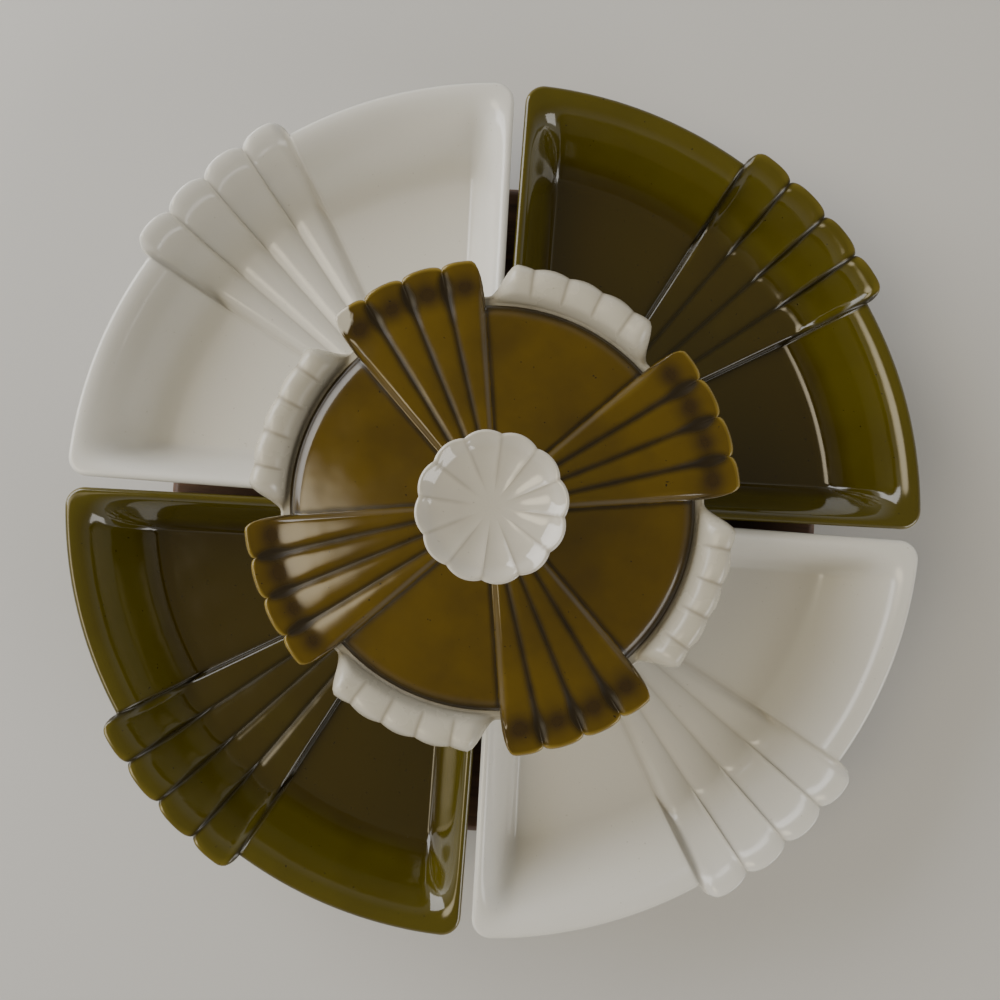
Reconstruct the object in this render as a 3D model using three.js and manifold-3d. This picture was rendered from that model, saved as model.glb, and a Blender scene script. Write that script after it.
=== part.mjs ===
// A lazy susan serving set. A round wooden board turns on a ball-bearing swivel and carries four
// wedge-shaped glazed trays round a covered bowl. Fan-shaped bands of flutes cross the trays, and
// four more fans spread over the lid and key it between four raised crests on the bowl's rim.
// Millimetres, +Z up. The origin is on the spin axis, on the surface that the rubber feet stand on.

import * as THREE from "three";
import { mergeVertices } from "three/addons/utils/BufferGeometryUtils.js";
import Module from "manifold-3d";

const wasm = await Module();
wasm.setup();

// ---- Driving dimensions ----

const TURN = 2 * Math.PI;
const DEGREE = Math.PI / 180;
const REST_GAP = 0.2; // air under a loose piece that rests on another
const SCREW_CLEARANCE = 0.3; // round a screw in its hole

const foot = { radius: 10, height: 5, circle: 100, well: 4.6, wellDepth: 2.8 };
const base = { radius: 120, thickness: 12, edge: 3, accessRadius: 8 };
const bearing = {
  thickness: 8, // over both plates
  side: 152, // of the square plates
  corner: 12,
  sheet: 1.2,
  bore: 40, // radius of the hole in the middle of each plate
  screwOffset: 62, // from the axis, along both sides of a plate
  ballRadius: 2.75,
  ballCircle: 56,
  balls: 16,
  pocket: 3.1, // radius of a ball's hole in the cage
  cage: { inner: 52.2, outer: 59.8, thickness: 1.6 },
  cageClearance: 0.6, // more than the facets' sagitta, so that the ring turns freely
};
const board = { radius: 178, thickness: 16, edge: 5, recess: 1, recessRadius: 60 };
const screw = { headRadius: 3.8, headHeight: 2.2, shankRadius: 2, length: 10 };

const tray = {
  outer: 218.5, // radius of the plain rim
  inner: 84,
  halfGap: 0.6, // from a side to the line between two trays, at the axis
  gapSlope: 0.0105, // and its growth with the radius
  height: 42,
  floor: 8, // top of the floor above the foot's sole
  recess: 2.5,
  footWidth: 7.5,
  lip: 2.5,
  wall: { outer: 42, side: 22, inner: 18 }, // plan width from rim to floor
  corner: 10,
  fanSpread: 0.28, // half width of the fan for each millimetre of radius past its start
  fanStart: 47,
  flutes: 4,
  fluteRise: 0.024, // height of a flute for each millimetre of radius
  fluteSink: 1.2, // how far the whole fan is set down at its outer end
  reach: 7.8, // of the fan past the rim
  scallop: 2.2, // of each flute's end past the grooves
};

const bowl = {
  turn: -19.3 * DEGREE, // the bowl and lid stand turned from the trays
  footRadius: 57,
  ledge: 89.5, // height of the lid's seat above the foot's sole
  crest: 101,
  crestRadius: 110.5,
  crestHalf: 24 * DEGREE,
  crestEnd: 7 * DEGREE, // over which a crest rises from its ends
  lobe: 8.6 * DEGREE, // pitch of a crest's five lobes
  gapRadius: 99.5,
  scallop: 1.4,
};
const lid = {
  radius: 93.5,
  edge: 5,
  dome: 8, // rise from the edge to the middle
  fanRadius: 112,
  fanHalf: 19.6 * DEGREE,
  flutes: 4,
  fluteRise: 0.034,
  scallop: 2,
  seat: 18, // radius of the flat that carries the knob
};
const knob = { radius: 32, height: 34.5, petals: 12, notch: 1.1 };

// Heights above the table
const baseBottom = foot.height;
const bearingBottom = baseBottom + base.thickness;
const boardBottom = bearingBottom + bearing.thickness;
const boardTop = boardBottom + board.thickness;
const traySole = boardTop + REST_GAP;
const bowlSole = boardTop - board.recess + REST_GAP;
const lidSeat = bowlSole + bowl.ledge + REST_GAP;
const lidMiddle = lidSeat + lid.edge + lid.dome;
const ballHeight = bearingBottom + bearing.thickness / 2;

// ---- Finishes ----

const finish = (color, roughness, metalness = 0) =>
  new THREE.MeshStandardMaterial({ color, roughness, metalness });
const whiteGlaze = finish(0xe4e0d6, 0.12);
const oliveGlaze = finish(0x575010, 0.1);
const amberGlaze = finish(0x69530e, 0.12);
const walnut = finish(0x5b3a22, 0.45);
const zincSteel = finish(0xb9bdc0, 0.35, 1);
const ballSteel = finish(0xd0d3d6, 0.12, 1);
const nylon = finish(0xdad5c6, 0.5);
const rubber = finish(0x1d1c1b, 0.8);

// ---- Working with solids ----

const mix = (a, b, t) => a + (b - a) * t;
const clamp = (x) => Math.min(1, Math.max(0, x));
const smooth = (x) => clamp(x) ** 2 * (3 - 2 * clamp(x));
const slope = (x) => (1 + Math.cos(Math.PI * x)) / 2; // 1 at the rim, 0 at the floor, level at both
const swell = (u) => Math.sqrt(Math.max(0, 1 - Math.abs(u) ** 2.5)); // a flute's round back, u -1 to 1

function toSolid(geometry) {
  const bare = geometry.index ? geometry.toNonIndexed() : geometry.clone();
  bare.deleteAttribute("normal");
  bare.deleteAttribute("uv");
  const merged = mergeVertices(bare, 1e-3);
  return new wasm.Manifold(
    new wasm.Mesh({
      numProp: 3,
      vertProperties: merged.attributes.position.array,
      triVerts: new Uint32Array(merged.index.array),
    }),
  );
}

function toGeometry(solid) {
  const { numProp, numVert, vertProperties, triVerts } = solid.getMesh();
  const points = new Float32Array(numVert * 3);
  for (let i = 0; i < numVert; i++)
    points.set(vertProperties.subarray(i * numProp, i * numProp + 3), i * 3);
  return new THREE.BufferGeometry()
    .setAttribute("position", new THREE.BufferAttribute(points, 3))
    .setIndex(new THREE.BufferAttribute(triVerts, 1));
}

const cut = (geometry, tools) =>
  toGeometry(tools.reduce((solid, tool) => solid.subtract(toSolid(tool)), toSolid(geometry)));
const join = (first, second) => toGeometry(toSolid(first).add(toSolid(second)));

// A solid turned about Z. The profile is a list of [radius, height], from its foot to its top.
function turned(profile, segments) {
  const points = profile.map(([r, z]) => new THREE.Vector2(r, z));
  return new THREE.LatheGeometry(points, segments).rotateX(Math.PI / 2);
}

// A turned solid whose rings are placed by a formula of the angle: place(ring, angle) is [r, z].
function shaped(ringCount, angles, place) {
  const profile = Array.from({ length: ringCount }, (_, k) => new THREE.Vector2(1, k));
  const geometry = new THREE.LatheGeometry(profile, angles.length);
  for (let i = 0; i <= angles.length; i++) {
    const angle = angles[i % angles.length];
    for (let k = 0; k < ringCount; k++) {
      const [r, z] = place(k, angle);
      const x = r * Math.cos(angle);
      const y = r * Math.sin(angle);
      geometry.attributes.position.setXYZ(i * ringCount + k, x, y, z);
    }
  }
  return geometry;
}

const cylinder = (radius, low, high, segments) =>
  new THREE.CylinderGeometry(radius, radius, high - low, segments)
    .rotateX(Math.PI / 2)
    .translate(0, 0, (low + high) / 2);

const onCircle = (radius, angle) => [radius * Math.cos(angle), radius * Math.sin(angle)];
const quarters = (start) => [0, 1, 2, 3].map((k) => start + k * (TURN / 4));

const set = new THREE.Group();

function add(name, geometry, material, group = set) {
  const mesh = new THREE.Mesh(geometry, material);
  mesh.name = name;
  group.add(mesh);
  return mesh;
}

// ---- Base: feet, board and lower half of the swivel ----

const pilot = screw.shankRadius + SCREW_CLEARANCE; // radius of a screw's hole
const plateScrewCircle = bearing.screwOffset * Math.SQRT2;
const lowerScrewAngles = quarters(45 * DEGREE);
const upperScrewAngles = quarters(0);
const footAngles = quarters(45 * DEGREE);
const footScrewTop = baseBottom + 8;
const lowerScrewBottom = bearingBottom + bearing.sheet - screw.length;
const upperScrewTop = boardBottom - bearing.sheet + screw.length;

// A pan-head screw with its head at z = 0 and below it, and its shank standing up to the length.
function panHeadScrew(length) {
  const { headRadius, headHeight, shankRadius } = screw;
  return turned(
    [
      [0, -headHeight],
      [headRadius * 0.6, -headHeight],
      [headRadius, -headHeight * 0.4],
      [headRadius, 0],
      [shankRadius, 0],
      [shankRadius, length - 2],
      [0, length],
    ],
    12,
  );
}

function makeFoot() {
  const { radius, height, well, wellDepth } = foot;
  return turned(
    [
      [well, 0],
      [radius - 1.5, 0],
      [radius, 1.2],
      [radius, height],
      [pilot, height],
      [pilot, wellDepth],
      [well, wellDepth],
      [well, 0],
    ],
    12,
  );
}

footAngles.forEach((angle, k) => {
  const [x, y] = onCircle(foot.circle, angle);
  add(`foot_${k + 1}`, makeFoot(), rubber).position.set(x, y, 0);
  const fixing = panHeadScrew(footScrewTop - foot.wellDepth);
  add(`foot_screw_${k + 1}`, fixing, zincSteel).position.set(x, y, foot.wellDepth);
});

function roundBoard(radius, low, high, edge, segments) {
  return turned(
    [
      [0, low],
      [radius - edge, low],
      [radius, low + edge],
      [radius, high - edge],
      [radius - edge * 0.3, high - edge * 0.3],
      [radius - edge, high],
      [0, high],
    ],
    segments,
  );
}

const holeAt = (circle, radius, low, high, segments) => (angle) => {
  const [x, y] = onCircle(circle, angle);
  return cylinder(radius, low, high, segments).translate(x, y, 0);
};
const baseBoard = cut(roundBoard(base.radius, baseBottom, bearingBottom, base.edge, 40), [
  ...footAngles.map(holeAt(foot.circle, pilot, baseBottom - 1, footScrewTop + 0.5, 8)),
  ...lowerScrewAngles.map(
    holeAt(plateScrewCircle, pilot, lowerScrewBottom - 0.5, bearingBottom + 1, 8),
  ),
  holeAt(plateScrewCircle, base.accessRadius, baseBottom - 1, bearingBottom + 1, 16)(0),
]);
add("base_board", baseBoard, walnut);

// A square sheet plate with round corners, a round hole in the middle and four screw holes.
function squarePlate(low) {
  const half = bearing.side / 2;
  const inner = half - bearing.corner;
  const outline = new THREE.Shape();
  for (const quarter of [0, 1, 2, 3]) {
    const angle = quarter * (TURN / 4);
    const [x, y] = onCircle(inner * Math.SQRT2, angle + TURN / 8);
    outline.absarc(x, y, bearing.corner, angle, angle + TURN / 4);
  }
  outline.holes.push(new THREE.Path().absarc(0, 0, bearing.bore, 0, TURN, true));
  for (const angle of lowerScrewAngles) {
    const [x, y] = onCircle(plateScrewCircle, angle);
    outline.holes.push(new THREE.Path().absarc(x, y, pilot, 0, TURN, true));
  }
  const options = { depth: bearing.sheet, bevelEnabled: false, curveSegments: 6 };
  return new THREE.ExtrudeGeometry(outline, options).translate(0, 0, low);
}

const sheet = bearing.sheet;
const race = {
  inner: bearing.cage.inner - bearing.cageClearance,
  outer: bearing.cage.outer + bearing.cageClearance,
};
const RACE_SEGMENTS = 32;

// The lower race is a trough for the balls; its outer wall turns out into a flange.
function lowerRace() {
  const low = bearingBottom;
  const deck = low + sheet;
  const top = low + 3.6;
  return turned(
    [
      [race.inner - sheet, low + 0.2],
      [race.outer + sheet, low + 0.2],
      [race.outer + sheet, top - 0.8],
      [race.outer + 2.8, top - 0.8],
      [race.outer + 2.8, top],
      [race.outer, top],
      [race.outer, deck],
      [race.inner, deck],
      [race.inner, top],
      [race.inner - sheet, top],
      [race.inner - sheet, low + 0.2],
    ],
    RACE_SEGMENTS,
  );
}

// The upper race has a skirt that hooks under that flange, so the two halves can't come apart.
function upperRace() {
  const high = boardBottom;
  const hookLow = bearingBottom + 1.6;
  const hookTop = bearingBottom + 2.5;
  const skirt = race.outer + 3.6;
  return turned(
    [
      [race.outer + 1.8, hookLow],
      [skirt + sheet, hookLow],
      [skirt + sheet, high - 0.2],
      [skirt, high - 0.2],
      [skirt, hookTop],
      [race.outer + 1.8, hookTop],
      [race.outer + 1.8, hookLow],
    ],
    RACE_SEGMENTS,
  );
}

add("bearing_lower_plate", join(squarePlate(bearingBottom), lowerRace()), zincSteel);
lowerScrewAngles.forEach((angle, k) => {
  const [x, y] = onCircle(plateScrewCircle, angle);
  const fixing = panHeadScrew(screw.length).rotateX(Math.PI);
  add(`base_screw_${k + 1}`, fixing, zincSteel).position.set(x, y, bearingBottom + sheet);
});

// ---- Ball cage ----

function ballAngle(k) {
  return (k * TURN) / bearing.balls;
}

function makeCage() {
  const { inner, outer, thickness } = bearing.cage;
  const low = ballHeight - thickness / 2;
  const high = ballHeight + thickness / 2;
  const ring = turned(
    [
      [inner, low],
      [outer, low],
      [outer, high],
      [inner, high],
      [inner, low],
    ],
    RACE_SEGMENTS,
  );
  const pocketAt = holeAt(bearing.ballCircle, bearing.pocket, low - 1, high + 1, 8);
  const pockets = Array.from({ length: bearing.balls }, (_, k) => pocketAt(ballAngle(k)));
  return cut(ring, pockets);
}

add("ball_cage", makeCage(), nylon);
for (let k = 0; k < bearing.balls; k++) {
  const ball = new THREE.SphereGeometry(bearing.ballRadius, 8, 6).rotateX(Math.PI / 2);
  const number = String(k + 1).padStart(2, "0");
  const [x, y] = onCircle(bearing.ballCircle, ballAngle(k));
  add(`ball_${number}`, ball, ballSteel).position.set(x, y, ballHeight);
}

// ---- Turntable: upper half of the swivel and the board ----

const upperPlate = join(squarePlate(boardBottom - sheet), upperRace().rotateZ(TURN / 8));
add("bearing_upper_plate", upperPlate.rotateZ(TURN / 8), zincSteel);
upperScrewAngles.forEach((angle, k) => {
  const [x, y] = onCircle(plateScrewCircle, angle);
  const fixing = panHeadScrew(screw.length);
  add(`board_screw_${k + 1}`, fixing, zincSteel).position.set(x, y, boardBottom - sheet);
});

const turntableBoard = cut(roundBoard(board.radius, boardBottom, boardTop, board.edge, 64), [
  cylinder(board.recessRadius, boardTop - board.recess, boardTop + 1, 32),
  ...upperScrewAngles.map(
    holeAt(plateScrewCircle, pilot, boardBottom - 1, upperScrewTop + 0.5, 8),
  ),
]);
add("turntable_board", turntableBoard, walnut);

// ---- Trays ----

const GROOVE_HEIGHT = 0.5; // of the grooves between flutes, as a share of the flutes' height
const EDGE_POWER = 14; // the higher, the flatter a fan is across, with squarer edges

// How far a fan's flutes swell at a place across it, s from -1 to 1.
function fluteSwell(s, flutes) {
  if (Math.abs(s) >= 1) return 0;
  const place = ((s + 1) * flutes) / 2;
  const plateau = Math.sqrt(1 - Math.abs(s) ** EDGE_POWER);
  return mix(swell(2 * (place - Math.floor(place)) - 1), 1, GROOVE_HEIGHT) * plateau;
}

const fanHalfAt = (r) => tray.fanSpread * (1 - tray.fanStart / r); // angle from its middle line

// Stations across a tray: -1 to 1 crosses the fan, and 1 to 2 the compartment beside it.
const FLUTE_STATIONS = [-1, -0.65, 0, 0.65];
const compartment = [1, 1.36, 1.7, 1.93, 2];
const fanStations = [0, 1, 2, 3].flatMap((k) =>
  FLUTE_STATIONS.map((u) => -1 + (2 * k + 1 + u) / tray.flutes),
);
const across = [...compartment.toReversed().map((a) => -a), ...fanStations.slice(1), ...compartment];
const along = [0, 0.06, 0.5, 0.94, 1];

// A ring of the tray lies inside its outline by an inset of its own on each kind of edge.
const insets = (edge, share) => {
  const { outer, side, inner } = tray.wall;
  const inset = (width) => edge + (width - edge) * share;
  return { outer: inset(outer), side: inset(side), inner: inset(inner) };
};

function trayRings() {
  const { height, floor, recess, lip, corner, footWidth } = tray;
  const rim = height;
  const depth = height - floor;
  const outside = (x) => ({
    inset: insets(1.5, x),
    corner: mix(corner, 8, x),
    z: (rim - 6) * slope(x),
    reach: 1 - x,
    flute: 0,
  });
  const inside = (x) => ({
    inset: insets(lip, x),
    corner: (corner - lip) * (1 - x),
    z: floor + depth * slope(x),
    reach: 1 - x,
    flute: 1,
  });
  const foot = (extra, z, round) => {
    const inset = insets(0, 1);
    for (const edge in inset) inset[edge] += extra;
    return { inset, corner: round, z, reach: 0, flute: 0 };
  };
  return [
    foot(footWidth + 1.5, recess, 0),
    foot(footWidth, 0, 2),
    foot(0, 0, 8),
    outside(0.67),
    outside(0.33),
    { inset: insets(1, 0), corner, z: rim - 6, reach: 1, flute: 0 },
    { inset: insets(0, 0), corner, z: rim - 2.8, reach: 1, flute: 0.45 },
    inside(0),
    inside(0.3),
    inside(0.55),
    inside(0.8),
    inside(1),
  ];
}

// The fan's reach past the plain rim: level in the middle, with round corners and scalloped ends.
function fanReach(s) {
  const corner = clamp((Math.abs(s) - 0.86) / 0.14);
  const round = Math.sqrt(1 - corner ** 2);
  return tray.reach * round + tray.scallop * fluteSwell(s, tray.flutes);
}

function trayAngle(station, r, sideInset) {
  const gap = tray.halfGap + tray.gapSlope * r + sideInset;
  const half = Math.PI / 4 - Math.asin(gap / r);
  const size = Math.abs(station);
  if (size <= 1) return station * fanHalfAt(r);
  return Math.sign(station) * mix(fanHalfAt(r), half, size - 1);
}

// A point of a ring, before its corners are rounded: u runs from the inner edge to the outer one.
function sectorPoint(ring, station, u) {
  const s = Math.abs(station) <= 1 ? station : 1;
  const swelling = fluteSwell(s, tray.flutes);
  const inner = tray.inner + ring.inset.inner;
  const plain = mix(inner, tray.outer - ring.inset.outer, u);
  const angle = trayAngle(station, plain, ring.inset.side);
  const r = plain + (Math.abs(station) < 1 ? fanReach(s) * ring.reach * u : 0);
  const fade = smooth((r - tray.inner - tray.lip) / tray.wall.inner);
  const sink = tray.fluteSink * ring.reach * u * (Math.abs(station) < 1 ? 1 : 0);
  const rise = (tray.fluteRise * r * swelling - sink) * fade * ring.flute;
  return new THREE.Vector3(...onCircle(r, angle), ring.z + rise);
}

// A circle's quarter between two tangent points, as a conic with its knee at the sharp corner.
function cornerPoint(from, knee, to, t) {
  const weights = [(1 - t) ** 2, Math.SQRT2 * t * (1 - t), t ** 2];
  const total = weights[0] + weights[1] + weights[2];
  return from
    .clone()
    .multiplyScalar(weights[0])
    .addScaledVector(knee, weights[1])
    .addScaledVector(to, weights[2])
    .divideScalar(total);
}

// Stations and shares at a distance from the corner at (side, end).
function cornerOf(ring, side, end, distance) {
  const knee = sectorPoint(ring, 2 * side, end);
  const r = Math.hypot(knee.x, knee.y);
  const half = Math.abs(trayAngle(2, r, ring.inset.side));
  const inner = tray.inner + ring.inset.inner;
  const span = tray.outer - ring.inset.outer - inner;
  const onArc = 2 - distance / (r * (half - fanHalfAt(r)));
  const onSide = end ? 1 - distance / span : distance / span;
  return {
    knee,
    arc: sectorPoint(ring, onArc * side, end),
    side: sectorPoint(ring, 2 * side, onSide),
  };
}

function arcPoint(ring, station, end) {
  const point = sectorPoint(ring, station, end);
  if (Math.abs(station) <= 1 || ring.corner === 0) return point;
  const corner = cornerOf(ring, Math.sign(station), end, ring.corner);
  const share = 1 - point.distanceTo(corner.knee) / ring.corner;
  return share <= 0 ? point : cornerPoint(corner.arc, corner.knee, corner.side, share / 2);
}

function sidePoint(ring, side, u) {
  const point = sectorPoint(ring, 2 * side, u);
  if (ring.corner === 0) return point;
  const corner = cornerOf(ring, side, u > 0.5 ? 1 : 0, ring.corner);
  const share = 1 - point.distanceTo(corner.knee) / ring.corner;
  return share <= 0 ? point : cornerPoint(corner.side, corner.knee, corner.arc, share / 2);
}

// Round a ring anticlockwise: outer arc, one side, inner arc, other side.
function trayLoop(ring) {
  const outer = across.map((station) => arcPoint(ring, station, 1));
  const inner = across.map((station) => arcPoint(ring, station, 0)).toReversed();
  const between = along.slice(1, -1);
  const left = between.map((u) => sidePoint(ring, 1, u)).toReversed();
  const right = between.map((u) => sidePoint(ring, -1, u));
  return [...outer, ...left, ...inner, ...right];
}

function makeTray() {
  const points = [];
  const quad = (a, b, c, d) => points.push(a, b, c, a, c, d);
  const rings = trayRings();
  const loops = rings.map(trayLoop);
  for (let k = 0; k + 1 < loops.length; k++)
    loops[k].forEach((point, i) => {
      const j = (i + 1) % loops[k].length;
      quad(point, loops[k][j], loops[k + 1][j], loops[k + 1][i]);
    });
  const gridOf = (ring) => along.map((u) => across.map((a) => sectorPoint(ring, a, u)));
  const top = gridOf(rings.at(-1));
  const sole = gridOf(rings[0]);
  for (let i = 0; i + 1 < along.length; i++)
    for (let j = 0; j + 1 < across.length; j++) {
      quad(top[i][j], top[i + 1][j], top[i + 1][j + 1], top[i][j + 1]);
      quad(sole[i][j], sole[i][j + 1], sole[i + 1][j + 1], sole[i + 1][j]);
    }
  return new THREE.BufferGeometry().setFromPoints(points);
}

const trayColours = ["olive", "white"];
quarters(TURN / 8).forEach((angle, k) => {
  const colour = trayColours[k % 2];
  const name = `tray_${colour}_${k < 2 ? "a" : "b"}`;
  const mesh = add(name, makeTray(), colour === "olive" ? oliveGlaze : whiteGlaze);
  mesh.rotation.z = angle;
  mesh.position.z = traySole;
});

// ---- Bowl and lid, in a group turned from the trays ----

const covered = new THREE.Group();
covered.rotation.z = TURN / 8 + bowl.turn;
set.add(covered);

// The angle from the nearest fan's middle line; the fans lie on the group's own axes.
function fromFan(angle) {
  const quarter = TURN / 4;
  return angle - quarter * Math.round(angle / quarter);
}

// How far a lobe swells at a place that counts lobes: 1 in its middle, 0 in the creases beside it.
function lobeSwell(place) {
  return 1 - (2 * (place - Math.floor(place)) - 1) ** 2;
}

// Angles for one quarter of a ring, repeated round it.
const roundRing = (quarter) => quarters(0).flatMap((start) => quarter.map((a) => start + a));

const fanEdge = lid.fanHalf;
const crestEdge = TURN / 8 - bowl.crestHalf;

function bowlPlace(ring, angle) {
  const away = Math.abs(fromFan(angle));
  const crest = smooth((away - crestEdge) / bowl.crestEnd);
  const lobe = crest * lobeSwell((away - TURN / 8) / bowl.lobe + 0.5);
  const { footRadius, ledge, crestRadius, gapRadius, scallop } = bowl;
  const rise = bowl.crest - ledge;
  const flare = (crestRadius - gapRadius) * crest;
  const profile = [
    [0, 3],
    [footRadius - 10, 3],
    [footRadius - 8, 0],
    [footRadius - 1, 0],
    [68, 18],
    [79, 42],
    [88, 62],
    [mix(94, 98, crest), 78],
    [gapRadius + flare - 1 + scallop * lobe, ledge - 3 + rise * 0.45 * crest],
    [gapRadius + flare + scallop * lobe, ledge - 1.5 + rise * 0.68 * crest],
    [gapRadius - 1.5 + 0.6 * flare, ledge + crest * (rise - 0.8 + 0.8 * lobe)],
    [mix(97, 98.5, crest), ledge + crest * (rise - 3)],
    [95.8, ledge + crest * 2],
    [95, ledge],
    [84, ledge],
    [82, ledge - 4],
    [82, 70],
    [74, 42],
    [60, 18],
    [44, 8],
    [0, 8],
  ];
  return profile[ring];
}

const crestHalfLobes = [-4, -3, -2, -1, 0, 1, 2, 3, 4].map((k) => TURN / 8 + (k * bowl.lobe) / 2);
const crestRise = [0, 2, 4].map((a) => crestEdge + a * DEGREE);
const crestFall = crestRise.map((a) => TURN / 4 - a).toReversed();
const crestGap = [-14, 0, 14].map((a) => a * DEGREE);
const bowlAngles = roundRing([...crestGap, ...crestRise, ...crestHalfLobes, ...crestFall]);
add("bowl", shaped(21, bowlAngles, bowlPlace), whiteGlaze, covered).position.z = bowlSole;

function lidPlace(ring, angle) {
  const away = fromFan(angle);
  const s = away / fanEdge;
  const inFan = Math.abs(s) <= 1;
  const lobe = inFan ? fluteSwell(s, lid.flutes) : 0;
  const { radius, edge, dome, fluteRise, scallop, seat } = lid;
  const roundCorner = Math.sqrt(1 - clamp((Math.abs(s) - 0.8) / 0.2) ** 2);
  const fan = inFan ? mix(0.25, 1, roundCorner) : 0;
  const reach = (lid.fanRadius - radius) * fan + scallop * lobe;
  const domed = (r) => edge + dome * (1 - clamp((r - seat) / (radius - seat)) ** 1.6);
  const fluted = (r) => domed(r) + fluteRise * r * lobe;
  const tip = radius + reach;
  const dip = radius + 0.35 * reach;
  const rises = fan ? 1 : 0;
  const profile = [
    [0, 3 + dome],
    [50, 4 + dome * 0.45],
    [74, -1],
    [75, -7],
    [79, -7],
    [81, 0],
    [radius - 2, 0],
    [tip - 3, mix(0.4, 1.6, rises)],
    [tip, mix(1.4, 3.4, rises) + 1.2 * lobe],
    [tip - 1.6, mix(edge - 1.2, edge + 0.6, rises) + 3.6 * lobe],
    [mix(radius - 3, dip, rises), edge - 0.6 * rises + 2.6 * lobe],
    [radius - 7, fluted(radius - 7)],
    [70, fluted(70)],
    [44, fluted(44)],
    [seat + 3, fluted(seat + 3)],
    [seat, edge + dome],
    [0, edge + dome],
  ];
  return profile[ring];
}

const lidFan = [0, 1, 2, 3].flatMap((k) =>
  FLUTE_STATIONS.map((u) => fanEdge * (-1 + (2 * k + 1 + u) / lid.flutes)),
);
const lidQuarter = [...lidFan, fanEdge, fanEdge + 0.6 * DEGREE, 32 * DEGREE, 45 * DEGREE];
lidQuarter.push(58 * DEGREE, TURN / 4 - fanEdge - 0.6 * DEGREE);
const lidAngles = roundRing(lidQuarter);
add("lid", shaped(17, lidAngles, lidPlace), amberGlaze, covered).position.z = lidSeat;

function knobPlace(ring, angle) {
  const { radius, height, petals, notch } = knob;
  const petal = lobeSwell((angle * petals) / TURN);
  const rim = radius - notch + 1.7 * petal;
  const profile = [
    [0, 0],
    [14, 0],
    [15.5, 1.6],
    [10.5, 6],
    [9, 12],
    [13, 19],
    [22, 26],
    [rim - 1.5, height - 2.6],
    [rim, height - 1],
    [rim - 1.6, height - 0.6 + 0.6 * petal],
    [26, height - 3.2 - 0.9 * petal],
    [14, height - 7.6 - 0.5 * petal],
    [0, height - 9.6],
  ];
  return profile[ring];
}

const knobSteps = 4 * knob.petals;
const knobAngles = Array.from({ length: knobSteps }, (_, i) => (TURN * i) / knobSteps);
const knobHeight = lidMiddle + REST_GAP;
add("lid_knob", shaped(13, knobAngles, knobPlace), whiteGlaze, covered).position.z = knobHeight;

export default set;
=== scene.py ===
# Lazy susan serving set: four glazed wedge trays and a covered bowl on a turning wooden board.
# Metres, +Z up, with the pieces' sizes in mm. Every piece is made fine here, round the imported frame.
import math

import bmesh
import bpy
import numpy as np
from mathutils import Matrix, Vector


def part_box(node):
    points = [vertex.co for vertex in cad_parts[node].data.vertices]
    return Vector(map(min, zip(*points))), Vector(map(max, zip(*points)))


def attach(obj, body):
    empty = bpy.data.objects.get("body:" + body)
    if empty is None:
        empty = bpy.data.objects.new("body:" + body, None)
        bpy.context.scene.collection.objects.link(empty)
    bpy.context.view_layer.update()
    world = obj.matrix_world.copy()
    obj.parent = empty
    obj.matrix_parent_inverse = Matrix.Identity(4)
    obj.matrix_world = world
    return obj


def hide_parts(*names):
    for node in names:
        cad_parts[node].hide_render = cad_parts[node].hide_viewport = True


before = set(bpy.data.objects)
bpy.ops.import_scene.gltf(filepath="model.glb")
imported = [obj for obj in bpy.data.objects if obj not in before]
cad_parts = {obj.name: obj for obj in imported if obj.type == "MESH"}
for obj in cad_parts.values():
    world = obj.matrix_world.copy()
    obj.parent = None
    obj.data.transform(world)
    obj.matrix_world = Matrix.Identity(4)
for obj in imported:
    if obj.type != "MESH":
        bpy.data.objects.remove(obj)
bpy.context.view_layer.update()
mm = 0.001
deg = math.pi / 180
fullTurn = 2 * math.pi
sharpEdge = 35 * deg
print("frame loaded:", len(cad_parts), "nodes")


def clamp(x):
    return np.clip(x, 0.0, 1.0)


def smooth(x):
    x = clamp(x)
    return x * x * (3 - 2 * x)


def wallSlope(x):
    return 0.5 + 0.5 * np.cos(math.pi * clamp(x))  # 1 at the rim, 0 at the floor, level at both


# Runs from -1 to 1 across each lobe; share counts the lobes
def acrossLobe(share):
    return 2 * (share - np.floor(share)) - 1


# A fan's flutes: how high they stand (0 to 1), how far their ends bulge, and how near a groove is.
# s runs from -1 to 1 across the fan, and halfWidth is the fan's in mm
def fluteForm(s, halfWidth, look):
    count = look["flutes"]
    within = np.abs(s) < 1
    s = np.clip(s, -0.99999, 0.99999)
    along = (s + 1) * count / 2
    fromGroove = np.abs(along - np.clip(np.round(along), 1, count - 1)) * 2 / count * halfWidth
    u = acrossLobe(along)
    groove = np.exp(-((fromGroove / look["grooveWidth"]) ** 2))
    edge = smooth((1 - np.abs(s)) * halfWidth / look["edgeWidth"])
    height = edge * (1 - look["crown"] * u**2) * (1 - look["grooveDepth"] * groove)
    bulge = np.sqrt(1 - np.abs(u) ** look["endPower"])
    return np.where(within, height, 0), np.where(within, bulge, 0), np.where(within, fromGroove, 99.0)


def easedSteps(count):
    return 0.5 - 0.5 * np.cos(np.linspace(0, math.pi, count + 1))  # crowded at both ends


def meshPiece(name, points, faces):
    mesh = bpy.data.meshes.new(name)
    mesh.from_pydata([tuple(p) for p in points], [], faces)
    mesh.validate()
    mesh.shade_smooth()
    piece = bpy.data.objects.new(name, mesh)
    bpy.context.scene.collection.objects.link(piece)
    return piece


def loopFaces(rings, size, closed=True):
    faces = []
    last = size if closed else size - 1
    for k in range(rings - 1):
        for i in range(last):
            j = (i + 1) % size
            faces.append((k * size + i, k * size + j, (k + 1) * size + j, (k + 1) * size + i))
    return faces


def pointsOf(mesh):
    spots = np.empty(len(mesh.vertices) * 3)
    mesh.vertices.foreach_get("co", spots)
    return spots.reshape(-1, 3)


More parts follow.
